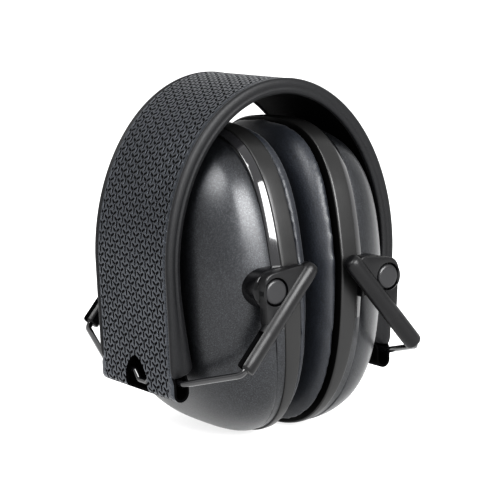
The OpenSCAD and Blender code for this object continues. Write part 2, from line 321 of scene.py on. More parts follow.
def bump(nodes, links, height, distance_mm, strength):
    n = nodes.new("ShaderNodeBump")
    n.inputs["Distance"].default_value = distance_mm * MM
    n.inputs["Strength"].default_value = strength
    links.new(height, n.inputs["Height"])
    return n.outputs[0]


def mix_colour(nodes, links, fac, a, b):
    n = nodes.new("ShaderNodeMix")
    n.data_type = "RGBA"
    links.new(fac, n.inputs["Factor"])
    for sock, c in ((n.inputs["A"], a), (n.inputs["B"], b)):
        if isinstance(c, tuple):
            sock.default_value = (*c, 1)
        else:
            links.new(c, sock)
    return n.outputs["Result"]


def moulded(name, dark, light, rough, grain=0.02, grain_scale=2600, coat=0.0, coat_rough=0.1,
            specular=0.5, wear=0.05):
    """Moulded plastic: fine spark-eroded grain, slow colour drift, faint rubbing."""
    m, nodes, links, p = new_material(name)
    slow = noise(nodes, links, 45, 3)
    fine = noise(nodes, links, grain_scale, 2)
    links.new(mix_colour(nodes, links, slow, dark, light), p.inputs["Base Color"])
    links.new(mapped(nodes, links, noise(nodes, links, 120, 4), 0.3, 0.75,
                     rough - wear, rough + wear), p.inputs["Roughness"])
    links.new(bump(nodes, links, fine, grain, 0.6), p.inputs["Normal"])
    p.inputs["Specular IOR Level"].default_value = specular
    p.inputs["Coat Weight"].default_value = coat
    p.inputs["Coat Roughness"].default_value = coat_rough
    return m


def relief_material():
    """Moulded band cover: slits in three directions on a staggered lattice, in millimetres, with
    the slits painted nearly black as shade.
    """
    m, nodes, links, p = new_material("band_relief")
    uv = nodes.new("ShaderNodeUVMap")
    uv.uv_map = "mm"
    pitch, row, slit_half = 1.93, 3.35, 0.58
    relief_end, plain_from, stitch_at = 18.2, 18.7, 19.05
    slits = [(0, 0, 0), (pitch, 0, 1), (2 * pitch, 0, 2),
             (0.5 * pitch, row / 2, 2), (1.5 * pitch, row / 2, 0), (2.5 * pitch, row / 2, 1)]
    nearest = None
    for u0, v0, kind in slits:
        turn = math.radians((90, 30, 150)[kind])
        along = (math.cos(turn), math.sin(turn), 0)
        across = (-math.sin(turn), math.cos(turn), 0)
        sub = nodes.new("ShaderNodeVectorMath")
        sub.operation = "SUBTRACT"
        links.new(uv.outputs[0], sub.inputs[0])
        sub.inputs[1].default_value = (u0, v0, 0)
        wrap = nodes.new("ShaderNodeVectorMath")
        wrap.operation = "WRAP"
        links.new(sub.outputs[0], wrap.inputs[0])
        wrap.inputs[1].default_value = (1.5 * pitch, row / 2, 1)
        wrap.inputs[2].default_value = (-1.5 * pitch, -row / 2, -1)
        parts = []
        for axis in (along, across):
            dot = nodes.new("ShaderNodeVectorMath")
            dot.operation = "DOT_PRODUCT"
            links.new(wrap.outputs[0], dot.inputs[0])
            dot.inputs[1].default_value = axis
            parts.append(math_node(nodes, links, "ABSOLUTE", dot.outputs["Value"]))
        over = math_node(nodes, links, "MAXIMUM",
                         math_node(nodes, links, "SUBTRACT", parts[0], slit_half), 0.0)
        square = math_node(nodes, links, "ADD",
                           math_node(nodes, links, "MULTIPLY", over, over),
                           math_node(nodes, links, "MULTIPLY", parts[1], parts[1]))
        dist = math_node(nodes, links, "SQRT", square)
        nearest = dist if nearest is None else math_node(nodes, links, "MINIMUM", nearest, dist)
    pit = mapped(nodes, links, nearest, 0.24, 0.48, 1, 0)
    split = nodes.new("ShaderNodeSeparateXYZ")
    links.new(uv.outputs[0], split.inputs[0])
    reach = math_node(nodes, links, "ABSOLUTE", split.outputs[0])
    inside = mapped(nodes, links, reach, relief_end, plain_from, 1, 0)
    pit = math_node(nodes, links, "MULTIPLY", pit, inside)
    off_line = math_node(nodes, links, "ABSOLUTE",
                         math_node(nodes, links, "SUBTRACT", reach, stitch_at))
    along_line = math_node(nodes, links, "ABSOLUTE",
                           math_node(nodes, links, "WRAP", split.outputs[1], 0.9, -0.9))
    stitch = math_node(nodes, links, "MULTIPLY",
                       mapped(nodes, links, off_line, 0.08, 0.2, 1, 0),
                       mapped(nodes, links, along_line, 0.55, 0.75, 1, 0))
    crest = mapped(nodes, links, nearest, 0.35, 0.62)
    fine = noise(nodes, links, 1700, 3)
    height = math_node(nodes, links, "ADD",
                       math_node(nodes, links, "MULTIPLY", pit, -1.0),
                       math_node(nodes, links, "MULTIPLY", crest, 0.18))
    for extra, share in ((stitch, 0.7), (fine, 0.12)):
        height = math_node(nodes, links, "ADD", height,
                           math_node(nodes, links, "MULTIPLY", extra, share))
    slow = noise(nodes, links, 60, 3)
    net = mix_colour(nodes, links, slow, (0.054, 0.058, 0.065), (0.084, 0.089, 0.099))
    # The slits are painted nearly black over the cover's own grey: painted shade in their hollows.
    net = mix_colour(nodes, links, pit, net, (0.0006, 0.0006, 0.0008))
    links.new(net, p.inputs["Base Color"])
    links.new(mapped(nodes, links, pit, 0, 1, 0.34, 0.8, smooth=False), p.inputs["Roughness"])
    links.new(math_node(nodes, links, "SUBTRACT", 0.95, pit, clamp=True), p.inputs["Metallic"])
    links.new(bump(nodes, links, height, 0.6, 1.0), p.inputs["Normal"])
    p.inputs["Specular IOR Level"].default_value = 0.08
    return m


def vinyl_material(name, dark, light, rough, grain=0.05, grain_scale=900, sheen=0.05,
                   specular=0.5):
    """Soft leathery vinyl: pebbled grain with fine creases, the creases painted darker as shade."""
    m, nodes, links, p = new_material(name)
    coords = nodes.new("ShaderNodeTexCoord").outputs["Object"]
    cells = nodes.new("ShaderNodeTexVoronoi")
    cells.feature = "DISTANCE_TO_EDGE"
    cells.inputs["Scale"].default_value = grain_scale
    links.new(coords, cells.inputs["Vector"])
    pebble = mapped(nodes, links, cells.outputs["Distance"], 0.0, 0.22)
    fine = noise(nodes, links, grain_scale * 2.5, 3, coords)
    height = math_node(nodes, links, "ADD", pebble, math_node(nodes, links, "MULTIPLY", fine, 0.4))
    slow = noise(nodes, links, 40, 3, coords)
    base = mix_colour(nodes, links, slow, dark, light)
    # The creases between the pebbles are painted darker: painted shade in the grain's hollows.
    links.new(mix_colour(nodes, links, pebble, tuple(c * 0.6 for c in dark), base),
              p.inputs["Base Color"])
    links.new(mapped(nodes, links, fine, 0.3, 0.7, rough - 0.06, rough + 0.06),
              p.inputs["Roughness"])
    links.new(bump(nodes, links, height, grain, 0.7), p.inputs["Normal"])
    p.inputs["Specular IOR Level"].default_value = specular
    p.inputs["Sheen Weight"].default_value = sheen
    p.inputs["Sheen Roughness"].default_value = 0.4
    return m


def dome_material():
    """Gunmetal paint with fine metal flake under a clear coat."""
    m, nodes, links, p = new_material("cup_dome_paint")
    coords = nodes.new("ShaderNodeTexCoord").outputs["Object"]
    flake = nodes.new("ShaderNodeTexVoronoi")
    flake.inputs["Scale"].default_value = 8000
    links.new(coords, flake.inputs["Vector"])
    split = nodes.new("ShaderNodeSeparateColor")
    links.new(flake.outputs["Color"], split.inputs[0])
    spark = mapped(nodes, links, split.outputs[0], 0.55, 1.0)
    slow = noise(nodes, links, 35, 3, coords)
    body = mix_colour(nodes, links, slow, (0.004, 0.0046, 0.006), (0.006, 0.0068, 0.0086))
    links.new(mix_colour(nodes, links, spark, body, (0.045, 0.048, 0.054)), p.inputs["Base Color"])
    links.new(mapped(nodes, links, split.outputs[1], 0, 1, 0.42, 0.56, smooth=False),
              p.inputs["Roughness"])
    links.new(bump(nodes, links, split.outputs[2], 0.006, 0.25), p.inputs["Normal"])
    p.inputs["Metallic"].default_value = 0.8
    p.inputs["Coat Weight"].default_value = 0.75
    p.inputs["Coat Roughness"].default_value = 0.33
    return m


def foam_material():
    """Open-cell foam, with painted shade darkening its pores."""
    m, nodes, links, p = new_material("foam")
    coords = nodes.new("ShaderNodeTexCoord").outputs["Object"]
    cells = nodes.new("ShaderNodeTexVoronoi")
    cells.inputs["Scale"].default_value = 1100
    links.new(coords, cells.inputs["Vector"])
    pore = mapped(nodes, links, cells.outputs["Distance"], 0.1, 0.5)
    # Pores, the low parts of the bump, are painted dark: painted shade in the foam's hollows.
    links.new(mix_colour(nodes, links, pore, (0.012, 0.012, 0.013), (0.075, 0.075, 0.078)),
              p.inputs["Base Color"])
    links.new(bump(nodes, links, pore, 0.35, 0.9), p.inputs["Normal"])
    links.new(mapped(nodes, links, noise(nodes, links, 300, 3, coords), 0.3, 0.7, 0.85, 0.98),
              p.inputs["Roughness"])
    return m


def steel_material():
    """Bare spring steel with cloudy roughness."""
    m, nodes, links, p = new_material("spring_steel")
    slow = noise(nodes, links, 90, 4)
    links.new(mix_colour(nodes, links, slow, (0.42, 0.42, 0.43), (0.6, 0.6, 0.61)),
              p.inputs["Base Color"])
    links.new(mapped(nodes, links, slow, 0.3, 0.7, 0.25, 0.4), p.inputs["Roughness"])
    p.inputs["Metallic"].default_value = 1
    return m


RELIEF = relief_material()
ROLL = vinyl_material("band_roll_vinyl", (0.003, 0.0032, 0.004), (0.005, 0.0054, 0.0065), 0.5,
                      grain=0.02, grain_scale=1500, specular=0.32)
# The lining is black cloth, painted darker still and almost without shine: painted shade for the
# inside of the arch.
LINING = vinyl_material("band_lining", (0.001, 0.001, 0.0012), (0.002, 0.002, 0.0023), 0.75,
                        sheen=0.0, specular=0.06)
CUSHION = vinyl_material("cushion_vinyl", (0.0085, 0.0102, 0.0140), (0.0135, 0.0160, 0.0215),
                         0.46, grain=0.014, grain_scale=1300, sheen=0.08)
DOME = dome_material()
BEVEL = moulded("bevel_gloss", (0.010, 0.010, 0.011), (0.014, 0.014, 0.015), 0.09, grain=0.0,
                coat=0.6, coat_rough=0.04, wear=0.02)
GROOVE = moulded("groove", (0.004, 0.004, 0.004), (0.006, 0.006, 0.006), 0.7)
RIM = moulded("rim_plastic", (0.007, 0.007, 0.007), (0.0115, 0.0115, 0.0115), 0.36, grain=0.012,
              specular=0.42)
LUG = moulded("lug_plastic", (0.0015, 0.0015, 0.002), (0.003, 0.003, 0.0035), 0.2, grain=0.006,
              specular=0.35)
PLATE = moulded("back_plate_plastic", (0.0015, 0.0015, 0.0015), (0.003, 0.003, 0.003), 0.5,
                specular=0.12)
SLIDER = moulded("slider_plastic", (0.002, 0.002, 0.0024), (0.004, 0.004, 0.0045), 0.38,
                 grain=0.01, specular=0.34)
STUD = moulded("stud_plastic", (0.012, 0.012, 0.013), (0.017, 0.017, 0.018), 0.34, grain=0.01,
               specular=0.4)
WIRE = moulded("wire_black", (0.006, 0.006, 0.007), (0.010, 0.010, 0.011), 0.14, grain=0.003,
               coat=0.5, coat_rough=0.06, wear=0.04)
FOAM = foam_material()
STEEL = steel_material()


# ---------------------------------------------------------------- camera, light, floor

def set_camera():
    """Camera at the photograph's angle, its aim a little off the middle of the cups."""
    az, el, roll = math.radians(-34.4), math.radians(9.9), math.radians(-0.95)
    distance, aim_right, aim_up = 600.0, 0.0020931, 0.0122449
    back = Vector((math.sin(az) * math.cos(el), -math.cos(az) * math.cos(el), math.sin(el)))
    level = Vector((math.cos(az), math.sin(az), 0))
    plumb = back.cross(level)
    right = level * math.cos(roll) + plumb * math.sin(roll)
    up = -level * math.sin(roll) + plumb * math.cos(roll)
    aim = (-back + right * aim_right + up * aim_up).normalized()
    cam = bpy.data.cameras.new("camera")
    cam.sensor_width, cam.lens = 36, 137.592
    cam.clip_start, cam.clip_end = 0.02, 50
    obj = add("camera", cam)
    side = aim.cross(up).normalized()
    obj.rotation_mode = "QUATERNION"
    obj.location = (back * distance + Vector((0, 0, CUP_Z))) * MM
    obj.rotation_quaternion = Matrix((side, side.cross(aim), -aim)).transposed().to_quaternion()
    bpy.context.scene.camera = obj


def set_room():
    """White surroundings and a pale floor that glows up to them."""
    world = bpy.data.worlds.new("studio")
    world.use_nodes = True
    background = world.node_tree.nodes["Background"]
    background.inputs["Color"].default_value = (1, 1, 1, 1)
    background.inputs["Strength"].default_value = 0.9
    scene = bpy.context.scene
    scene.world = world
    scene.view_settings.view_transform = "Standard"
    scene.view_settings.look = "High Contrast"

    reach = 12.0
    floor = bpy.data.meshes.new("floor")
    floor.from_pydata([(-reach, -reach, 0), (reach, -reach, 0), (reach, reach, 0),
                       (-reach, reach, 0)], [], [(0, 1, 2, 3)])
    m, nodes, links, p = new_material("floor_paper")
    links.new(mix_colour(nodes, links, noise(nodes, links, 3, 2), (0.44, 0.44, 0.44),
                         (0.46, 0.46, 0.46)), p.inputs["Base Color"])
    p.inputs["Emission Color"].default_value = (1, 1, 1, 1)
    p.inputs["Emission Strength"].default_value = 0.56
    p.inputs["Roughness"].default_value = 0.9
    p.inputs["Specular IOR Level"].default_value = 0.1
    floor.materials.append(m)
    add("floor", floor)


def softbox(name, direction, distance_mm, width_mm, height_mm, watts):
    """Area light aimed at the middle of the cups from a direction."""
    d = Vector(direction).normalized()
    light = bpy.data.lights.new(name, "AREA")
    light.shape = "RECTANGLE"
    light.size, light.size_y = width_mm * MM, height_mm * MM
    light.energy = watts
    obj = add(name, light)
    obj.location = d * distance_mm * MM + Vector((0, 0, CUP_Z * MM))
    obj.rotation_mode = "QUATERNION"
    obj.rotation_quaternion = (-d).to_track_quat("-Z", "Y")


set_camera()
set_room()
softbox("key", (-0.66, -0.20, 0.72), 700, 320, 320, 3.3)
softbox("front", (-0.04, -0.87, 0.47), 800, 600, 440, 12.0)


# ---------------------------------------------------------------- headband

def leg_x(z):
    """Outer face of the straight part of the band, which draws in a little towards its end."""
    return BAND_X - (ARCH_FOOT - z) * LEG_DRAW


def band_path():
    """Outer line of the right half, as (x, z, outward normal x, z, run from the apex).

    It goes down the arch and the leg, round the hem under the axle, and up inside the band.
    """
    pts = []
    for i in range(1201):
        a = math.pi / 2 * (1 - i / 1200)
        pts.append((BAND_X * math.cos(a), ARCH_FOOT + ARCH_RISE * math.sin(a)))
    for i in range(1, 301):
        z = ARCH_FOOT + (HEM_Z - ARCH_FOOT) * i / 300
        pts.append((leg_x(z), z))
    hem_x, hem_z, tuck = 2.75, 2.8, 9.5
    cx = leg_x(HEM_Z) - hem_x
    for i in range(1, 121):
        a = -math.pi * i / 120
        pts.append((cx + hem_x * math.cos(a), HEM_Z + hem_z * math.sin(a)))
    for i in range(1, 81):
        t = i / 80
        pts.append((cx - hem_x + 0.2 * t * t, HEM_Z + tuck * t))
    out, run = [], 0.0
    for k, (x, z) in enumerate(pts):
        a, b = pts[max(k - 1, 0)], pts[min(k + 1, len(pts) - 1)]
        t = unit((b[0] - a[0], 0, b[1] - a[1]))
        if k:
            run += math.dist(pts[k - 1], pts[k])
        if k == 0:
            t = (1, 0, 0)
        out.append((x, z, -t[2], t[0], run))
    return out


PATH = band_path()


def at_run(run):
    """Point and outward normal of the band's outer line at a run."""
    lo, hi = 0, len(PATH) - 1
    run = min(max(run, 0), PATH[-1][4])
    while hi - lo > 1:
        mid = (lo + hi) // 2
        if PATH[mid][4] <= run:
            lo = mid
        else:
            hi = mid
    a, b = PATH[lo], PATH[hi]
    t = (run - a[4]) / max(b[4] - a[4], 1e-9)
    return tuple(a[i] + (b[i] - a[i]) * t for i in range(4))


def run_at_z(z):
    """Run along the leg of the band down to a height."""
    start = next(p for p in PATH if p[1] <= ARCH_FOOT + 1e-6)
    return start[4] + (ARCH_FOOT - z) * math.hypot(1, LEG_DRAW)


def band_point(run, depth, y):
    """Point at a depth below the band's outer line."""
    x, z, nx, nz = at_run(run)
    return (x - depth * nx, y, z - depth * nz)


def runs_to(end, step):
    """Runs from the apex, finely spaced beside it so that the two halves meet without a line."""
    first = [0.0, 0.02, 0.08, 0.3, 0.9]
    count = max(2, round((end - first[-1]) / step))
    return first + [first[-1] + (end - first[-1]) * (i + 1) / count for i in range(count)]


LEG_END = run_at_z(HEM_Z)


def follow_band(obj):
    """Bake the placement of a piece of the band into its mesh."""
    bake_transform(obj)


def notch_half(z):
    """Half width of the drop-shaped cut-out in the band's end."""
    t = (NOTCH_TOP - z) / 7.5
    if t <= 0:
        return 0.0
    return NOTCH_HALF * math.sin(math.pi / 2 * min(t, 1)) ** 0.62


def cover_half_width(z):
    """The cover lies between the edge rolls, and flares below their ends."""
    flare = min(max((AXLE_Z + 2.4 - z) / 2.6, 0), 1)
    flare = flare * flare * (3 - 2 * flare)
    return BAND_HALF_W - 1.85 + 1.25 * flare


def band_cover(side_name, side):
    """Textured cover as a thin shell, notched at its end and hemmed round the wire."""
    notch_closed, lined_from = LEG_END + 2.6, LEG_END + 5
    notch_rows = [run_at_z(NOTCH_TOP) + d for d in (0.0, 0.05, 0.2, 0.5, 1.0, 1.6)]
    hem_rows = [LEG_END + 0.35 * k for k in range(1, 30)]
    rows = sorted(set(runs_to(PATH[-1][4], 1.0) + notch_rows + hem_rows))
    cols = 22
    verts, uv, index = [], [], {}
    for j, run in enumerate(rows):
        x, z, nx, nz = at_run(run)
        h, w = notch_half(z), cover_half_width(z)
        if run > notch_closed:
            h = 0.0
        thin = min(max((run - LEG_END) / 3, 0), 1)
        thick = COVER_T - 0.45 * thin
        for half in (-1, 1):
            for i in range(cols + 1):
                y = half * (h + (w - h) * (i / cols))
                edge = max(0.0, abs(y) - (w - 0.9)) / 0.9
                sink = 0.35 * edge * edge * (1 - thin)
                for layer, depth in ((0, sink), (1, thick)):
                    index[j, half, i, layer] = len(verts)
                    verts.append((x - depth * nx, y, z - depth * nz))
                    uv.append((y, run))
    faces, mats = [], []
    for j in range(len(rows) - 1):
        open_row = notch_half(at_run(rows[j])[1]) > 0 or notch_half(at_run(rows[j + 1])[1]) > 0
        lined = 1 if rows[j] > lined_from else 0
        for half in (-1, 1):
            for i in range(cols):
                for layer in (0, 1):
                    q = [index[j, half, i, layer], index[j, half, i + 1, layer],
                         index[j + 1, half, i + 1, layer], index[j + 1, half, i, layer]]
                    if (half > 0) == (layer == 0):
                        q.reverse()
                    faces.append(tuple(q))
                    mats.append(1 if layer == 1 else lined)
            for i, keep in ((0, open_row), (cols, True)):
                if keep:
                    q = [index[j, half, i, 0], index[j + 1, half, i, 0],
                         index[j + 1, half, i, 1], index[j, half, i, 1]]
                    if (half > 0) != (i == 0):
                        q.reverse()
                    faces.append(tuple(q))
                    mats.append(1)
    j = len(rows) - 1
    for half in (-1, 1):
        for i in range(cols):
            q = [index[j, half, i, 0], index[j, half, i + 1, 0],
                 index[j, half, i + 1, 1], index[j, half, i, 1]]
            if half > 0:
                q.reverse()
            faces.append(tuple(q))
            mats.append(1)
    obj = make("band_cover_" + side_name, verts, faces, side, uv=uv, sharp=50, mats=mats)
    obj.data.materials.append(RELIEF)
    obj.data.materials.append(LINING)
    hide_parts("crown_cover", "arm_cover_" + side_name)
    follow_band(obj)


def thickening(z):
    """How much thicker the edges are towards the band's end, where the lining is folded in."""
    return 2.9 * min(max((2 - z) / 26, 0), 1) ** 1.3


def band_roll(side_name, side):
    """The two rolled edges of the band, each with two lobes where the edging folds over."""
    parts = []
    end = run_at_z(AXLE_Z + 1.4)
    taper = 3.2
    rows = runs_to(end - taper, 1.0)
    rows += [end - taper * f for f in (0.85, 0.68, 0.5, 0.33, 0.17, 0.05, 0)]
    count = 44
    for half in (-1, 1):
        rings = []
        for run in rows:
            left = (end - run) / taper
            k = 1.0 if left >= 1 else max(0.12, math.sqrt(max(0, 1 - (1 - left) ** 2)))
            extra = thickening(at_run(run)[1])
            middle = 0.9 + ((BAND_T + extra) / 2 - 0.9) * k
            ring = []
            for i in range(count):
                b = 2 * math.pi * i / count
                out = spow(math.cos(b), 2 / 2.5) * 1.2
                dep = spow(math.sin(b), 2 / 2.6) * (2.42 + extra / 2)
                if out > 0:
                    out -= 0.42 * math.exp(-((dep - 0.35) / 0.3) ** 2)
                y = half * (BAND_HALF_W - 1.25 + out * k)
                ring.append(band_point(run, middle + dep * k, y))
            if half < 0:
                ring.reverse()
            rings.append(ring)
        parts.append(rings_mesh(rings, (False, True)))
    verts, faces = join_parts(parts)
    obj = make("band_edging_" + side_name, verts, flipped(faces), side, sharp=60)
    obj.data.materials.append(ROLL)
    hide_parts("crown_bindings", "arm_bindings_" + side_name)
    follow_band(obj)


def band_layer(name, node, depth_out, depth_in, half_w, end_z, material, side_name, side,
               swell=0.0):
    """A layer inside the band, whose inner face swells out between its edges."""
    rows = runs_to(run_at_z(end_z), 1.5)
    cols = 16
    rings = []
    for run in rows:
        ring = []
        for i in range(cols + 1):
            ring.append(band_point(run, depth_out, -half_w + 2 * half_w * i / cols))
        for i in range(cols, -1, -1):
            y = -half_w + 2 * half_w * i / cols
            rise = swell * (1 - abs(y / half_w) ** 2.5)
            ring.append(band_point(run, depth_in + rise, y))
        rings.append(ring)
    verts, faces = rings_mesh(rings, (False, True))
    obj = make(name + "_" + side_name, verts, flipped(faces), side, sharp=50)
    obj.data.materials.append(material)
    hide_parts("crown_" + node, "arm_" + node + "_" + side_name)
    follow_band(obj)
    return obj


for side_name, side in SIDES:
    band_cover(side_name, side)
    band_roll(side_name, side)
    band_layer("band_spring", "spring", COVER_T + 0.02, COVER_T + SPRING_T - 0.02, 11.0,
               AXLE_Z + 6.0, STEEL, side_name, side)
    pad = band_layer("band_pad", "pad", COVER_T + SPRING_T, BAND_T - 0.25, 19.6, AXLE_Z + 5.2,
                     LINING, side_name, side, swell=0.45)


# ---------------------------------------------------------------- wire yokes

def rounded_path(corners, radii, per_bend=9):
    """Points along straight runs whose corners are rounded to the given radii."""
    pts = [corners[0]]
    for k in range(1, len(corners) - 1):
        a, c, b = corners[k - 1], corners[k], corners[k + 1]
        u = unit([c[i] - a[i] for i in range(3)])
        v = unit([b[i] - c[i] for i in range(3)])
        turn = math.acos(max(-1, min(1, sum(u[i] * v[i] for i in range(3)))))
        cut = radii[k - 1] * math.tan(turn / 2)
        start = tuple(c[i] - u[i] * cut for i in range(3))
        inward = unit([v[i] - u[i] for i in range(3)])
        hub = tuple(c[i] + inward[i] * radii[k - 1] / math.cos(turn / 2) for i in range(3))
        x = unit([start[i] - hub[i] for i in range(3)])
        for n in range(per_bend + 1):
            f = turn * n / per_bend
            pts.append(tuple(hub[i] + radii[k - 1] * (x[i] * math.cos(f) + u[i] * math.sin(f))
                             for i in range(3)))
    pts.append(corners[-1])
    return pts


def yoke_wire(side_name, side):
    """Bent wire: two legs, an axle in the band's end, and the dip seen in the notch."""
    half = [(AXLE_X, 2.2, AXLE_Z - 3), (AXLE_X, 5.0, AXLE_Z), (AXLE_X, BAND_HALF_W + 0.9, AXLE_Z),
            CORNER, tuple(CORNER[i] + LEG_LEN * LEG[i] for i in range(3))]
    corners = [(p[0], -p[1], p[2]) for p in reversed(half)] + half
    radii = [2.6] + [1.6] * 6 + [2.6]
    verts, faces = tube(rounded_path(corners, radii), 1.0)
    obj = make("yoke_wire_shape_" + side_name, verts, faces, side, sharp=60)
    obj.data.materials.append(WIRE)
    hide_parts("yoke_wire_" + side_name)
    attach(obj, "yoke_" + side_name)


# ---------------------------------------------------------------- sliders and studs

def radial_outline(half_planes, centre, count, power=36):
    """Distance from a centre to a convex outline with softened corners, at even angles."""
    out = []
    for i in range(count):
        a = 2 * math.pi * i / count
        d = (math.cos(a), math.sin(a))
        total = 0.0
        for nx, nz, c in half_planes:
            along = nx * d[0] + nz * d[1]
            if along > 1e-6:
                total += ((c - nx * centre[0] - nz * centre[1]) / along) ** -power
        out.append(total ** (-1 / power))
    return out


def planes_of(points):
    """Half planes of a convex outline given anticlockwise."""
    out = []
    for k, p in enumerate(points):
        q = points[(k + 1) % len(points)]
        n = unit((q[1] - p[1], 0, p[0] - q[0]))
        out.append((n[0], n[2], n[0] * p[0] + n[2] * p[1]))
    return out


def around(centre, reach, y, inset=0.0):
    """Ring of points about a centre (x, z), at the distances in reach less an inset."""
    count = len(reach)
    return [(centre[0] + (r - inset) * math.cos(2 * math.pi * i / count), y,
             centre[1] + (r - inset) * math.sin(2 * math.pi * i / count))
            for i, r in enumerate(reach)]


def on_leg(t):
    """Point on the front or rear leg of the wire, t from its lower corner."""
    return tuple(CORNER[i] + t * LEG[i] for i in range(3))


def slider_piece(side_name, side, end_name, end):
    """Triangular plate round a stud, with a half-round bar whose lower part holds the wire."""
    foot, tip = on_leg(14), on_leg(36.5)
    arc = [(20.8 + 4 * math.cos(a), 4.9 + 4 * math.sin(a))
           for a in (math.radians(15 * k) for k in range(7))]
    outline = [(foot[0], foot[2]), (23.9, -7.4)] + arc + [(tip[0] + 2.4, 10.0), (tip[0], tip[2])]
    count = 120
    centre = (PIVOT_X, PIVOT_Z)
    reach = radial_outline(planes_of(outline), centre, count)
    hole = HEAD_R + 0.3
    edge = ((SLIDER_IN, 0.35), (SLIDER_IN + 0.35, 0.0), (SLIDER_OUT - 0.55, 0.0),
            (SLIDER_OUT - 0.25, 0.08), (SLIDER_OUT - 0.07, 0.26), (SLIDER_OUT, 0.55))
    bore = ((SLIDER_OUT, hole + 0.42), (SLIDER_OUT - 0.12, hole + 0.12),
            (SLIDER_OUT - 0.4, hole), (SLIDER_IN + 0.4, hole))
    rings = [around(centre, [hole] * count, SLIDER_IN + 0.4),
             around(centre, [hole + 0.3] * count, SLIDER_IN)]
    rings += [around(centre, reach, y, inset) for y, inset in edge]
    rings += [around(centre, [r] * count, y) for y, r in bore]
    plate = rings_mesh(rings, (False, False))

    out_dir = (math.sin(SLOPE), 0, math.cos(SLOPE))
    front_dir = (0, 1, 0)
    back = SLIDER_IN - CORNER[1]

    def bar(section, stations):
        path = [(on_leg(t), out_dir, front_dir) for t, scale in stations]
        return sweep(path, section, [scale for t, scale in stations])

    def rim_point(a):
        return BAR_R * math.cos(a), max(back, BAR_R * math.sin(a))

    sides = 44
    solid = [rim_point(2 * math.pi * i / sides) for i in range(sides)]
    upper = bar(solid, ((13.6, 0.97), (14.2, 1), (22, 1), (32, 1), (36.4, 1), (37.6, 0.95),
                        (38.3, 0.84), (38.75, 0.7), (39.0, 0.5)))

    gap = 1.22
    mouth = math.asin(gap / BAR_R)
    channel = [rim_point(mouth + (2 * math.pi - 2 * mouth) * i / 36) for i in range(37)]
    channel += [(1.6, -gap), (0.2, -gap)]
    for i in range(1, 8):
        a = -math.pi / 2 - math.pi * i / 8
        channel.append((0.2 + gap * math.cos(a), gap * math.sin(a)))
    channel += [(0.2, gap), (1.6, gap)]
    lower = bar(channel, ((1.5, 0.8), (1.62, 0.9), (1.9, 0.97), (2.4, 1), (5, 1), (10, 1),
                          (14.4, 1)))

    verts, faces = join_parts([plate, upper, lower])
    verts = [(x, end * y, z) for x, y, z in verts]
    name = "slider_shape_" + end_name + "_" + side_name
    obj = make(name, verts, flipped(faces) if end < 0 else faces, side, sharp=32)
    face_outward(obj)
    obj.data.materials.append(SLIDER)
    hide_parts("slider_" + end_name + "_" + side_name)
    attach(obj, "carriage_" + side_name)


def stud_piece(side_name, side, end_name, end):
    """Turned stud: a softly edged head in the slider, and a shank into the cup's lug."""
    profile = [(0.0, 45.78), (2.5, 45.78), (2.95, 45.74), (3.35, 45.6), (3.62, 45.36), (3.76, 45.0),
               (HEAD_R - 0.02, 44.4), (HEAD_R - 0.02, 42.3), (3.5, 42.12), (2.38, 42.1),
               (2.38, 38.7), (0.0, 38.65)]
    verts, faces = rings_mesh([around((PIVOT_X, PIVOT_Z), [max(r, 0.001)] * 56, end * y)
                               for r, y in profile])
    obj = make("stud_shape_" + end_name + "_" + side_name, verts, faces, side, sharp=50)
    face_outward(obj)
    obj.data.materials.append(STUD)
    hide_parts("pivot_stud_" + end_name + "_" + side_name)
    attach(obj, "cup_" + side_name)


for side_name, side in SIDES:
    yoke_wire(side_name, side)
    for end_name, end in ENDS:
        slider_piece(side_name, side, end_name, end)
        stud_piece(side_name, side, end_name, end)


# ---------------------------------------------------------------- cups

def dome_ring(t, k, wall):
    """Ring of the dome at a share t of its height, k of its width, inside a wall.

    The outer skin, whose wall is 0, meets the narrowed rim at the bottom of the cup.
    """
    blend = min(t / 0.35, 1.0)
    power = RIM_POWER + (3.0 - RIM_POWER) * blend
    out = []
    for a in CUP_ANGLES:
        full = 0.95 + (0.0 if wall else 0.042 * (1 - edge_depth(a)) * (1 - t))
        start = BEVEL_BACK_X - (0.0 if wall else narrowing(a))
        y = (HALF_W * full - wall) * k * spow(math.cos(a), 2 / power)
        z = (HALF_H * full - wall) * k * spow(math.sin(a), 2 / power)
        out.append(lean((start + (DOME_X - wall - start) * t, y, z)))
    return out


def dome_rings(steps, wall=0.0):
    """Rings from the dome's foot to its tip, where a small flat is left for the cap."""
    out = []
    for i in range(steps + 1):
        u = math.pi / 2 * i / steps * 0.985
        out.append(dome_ring(math.sin(u) ** (2 / 1.65), math.cos(u) ** (2 / 3.4), wall))
    return out


def cup_rim(side_name, side):
    """Flat rim wall with soft edges; its cushion side and inner face take the darker plate plastic,
    as painted shade in the gap beside the cushion.
    """
    profile = [(9.4, 3.2), (7.75, 3.1), (7.62, 2.9), (7.6, 2.5), (7.6, 0.75), (7.66, 0.42),
               (7.82, 0.16), (8.1, 0.02), (8.5, 0.0), (10.5, -0.06), (12.5, -0.03), (13.3, 0.02),
               (13.6, 0.1), (13.74, 0.25), (13.8, 0.5), (13.8, 1.6), (12.5, 2.8), (9.4, 3.2)]
    rings = [cup_ring(x, d, max(0.0, (x - RIM_X) / (RIM_BACK_X - RIM_X))) for x, d in profile]
    verts, faces = rings_mesh(rings, (False, False))
    n = len(rings[0])
    # Faces toward the cushion and inside the rim get the darker plate plastic: painted shade, not a
    # different part.
    mats = [1 if j < 5 or j > 15 else 0 for j in range(len(rings) - 1) for i in range(n)]
    obj = make("cup_rim_shape_" + side_name, verts, faces, side, sharp=50, mats=mats)
    obj.data.materials.append(RIM)
    obj.data.materials.append(PLATE)
    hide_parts("cup_rim_" + side_name)
    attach(obj, "cup_" + side_name)


